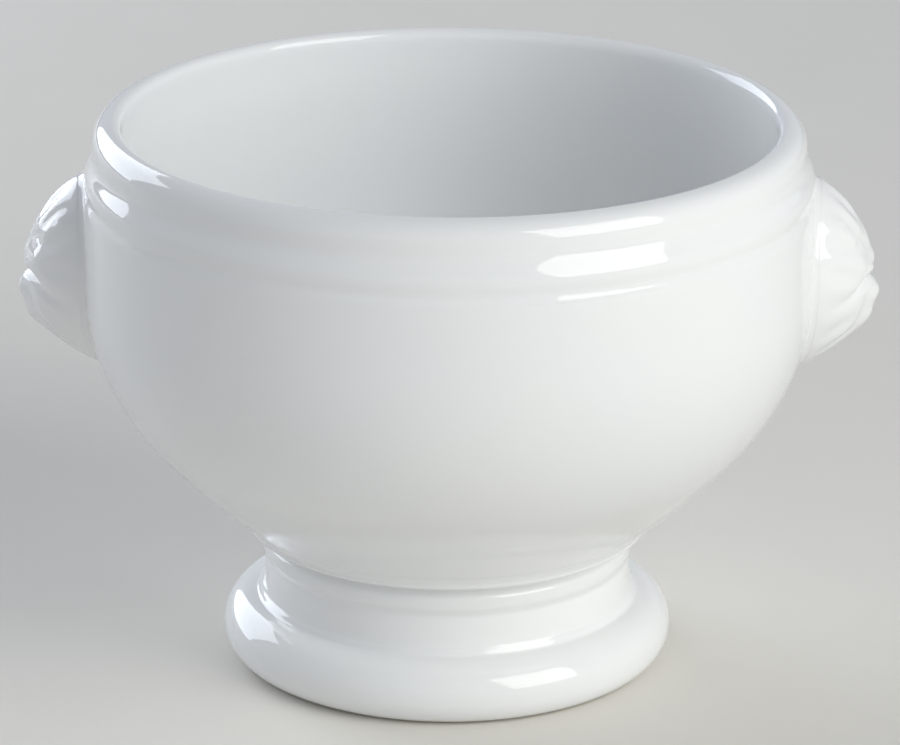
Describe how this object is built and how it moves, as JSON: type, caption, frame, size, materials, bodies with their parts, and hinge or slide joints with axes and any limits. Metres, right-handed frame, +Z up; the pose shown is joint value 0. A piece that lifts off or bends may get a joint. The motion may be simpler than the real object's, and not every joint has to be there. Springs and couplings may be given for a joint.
{
  "type": "footed soup bowl",
  "caption": "Round footed soup bowl in white glazed porcelain, with a rolled lip, a banded rim, a turned pedestal foot and a lion's head in relief on each side.",
  "frame": {"origin": "on the table, under the middle of the foot", "axes": "+Z up along the axis of the bowl, +X through the middle of one lion's head, +Y away from the viewer between the heads"},
  "size_m": [0.146, 0.124, 0.0953],
  "materials": {
    "glazed_porcelain": "glossy clear glaze over white porcelain",
    "fired_slip": "matt unglazed white clay"
  },
  "bodies": {
    "root": {"bowl": "glazed_porcelain", "pedestal_foot": "glazed_porcelain", "foot_luting_slip": "fired_slip", "right_lion_head": "glazed_porcelain", "left_lion_head": "glazed_porcelain", "right_head_luting_slip": "fired_slip", "left_head_luting_slip": "fired_slip"}
  },
  "joints": []
}
